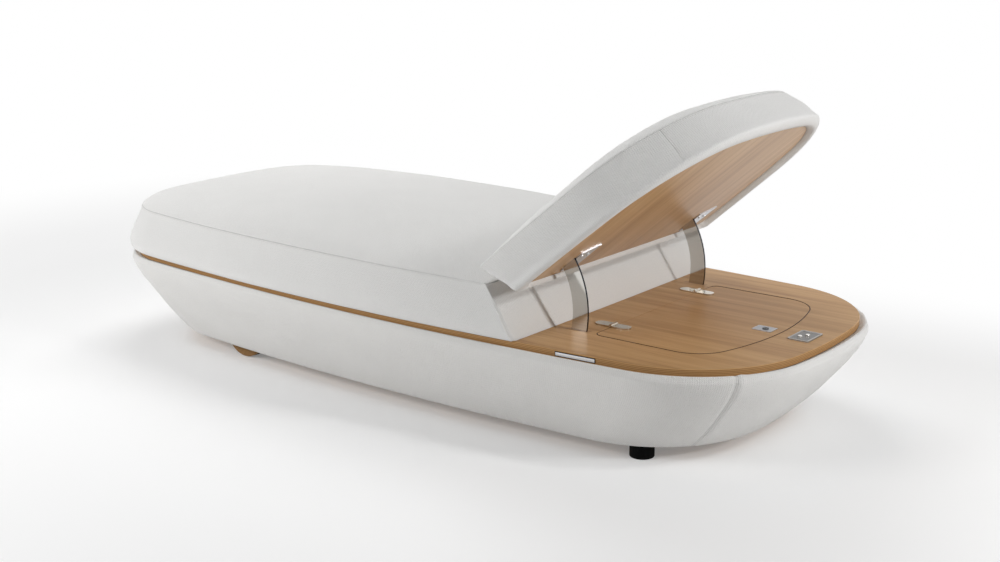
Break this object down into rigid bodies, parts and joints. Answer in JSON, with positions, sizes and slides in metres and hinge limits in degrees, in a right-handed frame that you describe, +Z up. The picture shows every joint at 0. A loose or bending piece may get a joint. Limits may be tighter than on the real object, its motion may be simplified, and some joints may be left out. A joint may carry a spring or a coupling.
{
  "type": "spa relaxation lounger",
  "caption": "Spa relaxation lounger with a padded boat-shaped base, plywood deck, thick pale mattress, powered backrest on arc-shaped steel blades, storage lid, rear feet and front wheels",
  "frame": {"origin": "centre of the bounding box on the floor under the lounger", "axes": "+X along the length towards the head end, +Y to the left of someone lying on it, +Z up"},
  "size_m": [2.1142, 0.9106, 0.8077],
  "materials": {
    "oiled_ply": "satin",
    "raw_ply": "matte",
    "pale_fabric": "matte",
    "mirror_steel": "polished",
    "brushed_steel": "brushed",
    "painted_steel": "satin",
    "black_plastic": "matte",
    "brown_plastic": "matte",
    "grey_plastic": "matte",
    "black_rubber": "matte"
  },
  "bodies": {
    "base": {"deck_board": "oiled_ply", "base_upholstery": "pale_fabric", "bottom_board": "raw_ply", "rail_right": "raw_ply", "bearer_right": "raw_ply", "rail_left": "raw_ply", "bearer_left": "raw_ply", "rib_foot": "raw_ply", "rib_middle": "raw_ply", "rib_head": "raw_ply", "foot_right": "black_plastic", "foot_left": "black_plastic", "wheel_housing_right": "painted_steel", "axle_right": "brushed_steel", "wheel_housing_left": "painted_steel", "axle_left": "brushed_steel", "mattress": "pale_fabric", "guide_right": "brown_plastic", "guide_left": "brown_plastic", "actuator_bracket": "painted_steel", "actuator_pin": "brushed_steel", "battery_pack": "black_plastic", "control_box": "black_plastic", "storage_tub": "grey_plastic", "hinge_deck_right": "mirror_steel", "hinge_pin_right": "mirror_steel", "hinge_deck_left": "mirror_steel", "hinge_pin_left": "mirror_steel", "lock_keeper": "brushed_steel", "control_plate": "brushed_steel", "switch_block": "black_plastic", "label_plate": "brushed_steel"},
    "backrest": {"backrest_board": "oiled_ply", "backrest_cushion": "pale_fabric", "backrest_border": "pale_fabric", "blade_right": "mirror_steel", "blade_left": "mirror_steel", "flange_right": "brushed_steel", "flange_left": "brushed_steel", "flange_screws": "brushed_steel", "cross_tube": "painted_steel", "drive_lugs": "painted_steel", "drive_pin": "brushed_steel"},
    "lid": {"lid_board": "oiled_ply", "hinge_lid_right": "mirror_steel", "hinge_lid_left": "mirror_steel", "lock_plate": "brushed_steel"},
    "lock": {"lock_barrel": "brushed_steel", "lock_cam": "brushed_steel"},
    "raise_button": {"button_raise": "black_plastic"},
    "lower_button": {"button_lower": "black_plastic"},
    "right_wheel": {"tyre_right": "black_rubber", "wheel_disc_right": "oiled_ply"},
    "left_wheel": {"tyre_left": "black_rubber", "wheel_disc_left": "oiled_ply"},
    "actuator": {"actuator_housing": "black_plastic", "actuator_motor": "black_plastic"},
    "actuator_front": {"actuator_rod": "brushed_steel"}
  },
  "joints": [
    {"name": "backrest_tilt", "type": "hinge", "parent": "base", "child": "backrest", "pos_m": [0.334, 0, 0.295], "axis": [0, -1, 0], "range_deg": [-40.5, 3.5]},
    {"name": "lid_open", "type": "hinge", "parent": "base", "child": "lid", "pos_m": [0.59, 0, 0.2591], "axis": [0, -1, 0], "range_deg": [0, 60]},
    {"name": "lock_turn", "type": "hinge", "parent": "lid", "child": "lock", "pos_m": [0.888, 0, 0.25], "axis": [0, 0, -1], "range_deg": [0, 90]},
    {"name": "button_raise_press", "type": "slide", "parent": "base", "child": "raise_button", "axis": [0, 0, -1], "range_m": [0, 0.0015], "stiffness_N_per_m": 300},
    {"name": "button_lower_press", "type": "slide", "parent": "base", "child": "lower_button", "axis": [0, 0, -1], "range_m": [0, 0.0015], "stiffness_N_per_m": 300},
    {"name": "wheel_right_roll", "type": "hinge", "parent": "base", "child": "right_wheel", "pos_m": [-0.531, -0.32, 0.07], "axis": [0, 1, 0], "continuous": true},
    {"name": "wheel_left_roll", "type": "hinge", "parent": "base", "child": "left_wheel", "pos_m": [-0.531, 0.32, 0.07], "axis": [0, 1, 0], "continuous": true},
    {"name": "actuator_swing", "type": "hinge", "parent": "base", "child": "actuator", "pos_m": [0.1, 0, 0.182], "axis": [0, -1, 0], "range_deg": [-16.3, 1.6]},
    {"name": "rod_slide", "type": "slide", "parent": "actuator", "child": "actuator_front", "axis": [0.997, 0, -0.0772], "range_m": [-0.1145, 0.0103]}
  ],
  "couplings": [
    {"joint": "actuator_swing", "follows": "backrest_tilt", "ratio": 0.39813},
    {"joint": "rod_slide", "follows": "backrest_tilt", "m_per_rad": 0.16124}
  ]
}
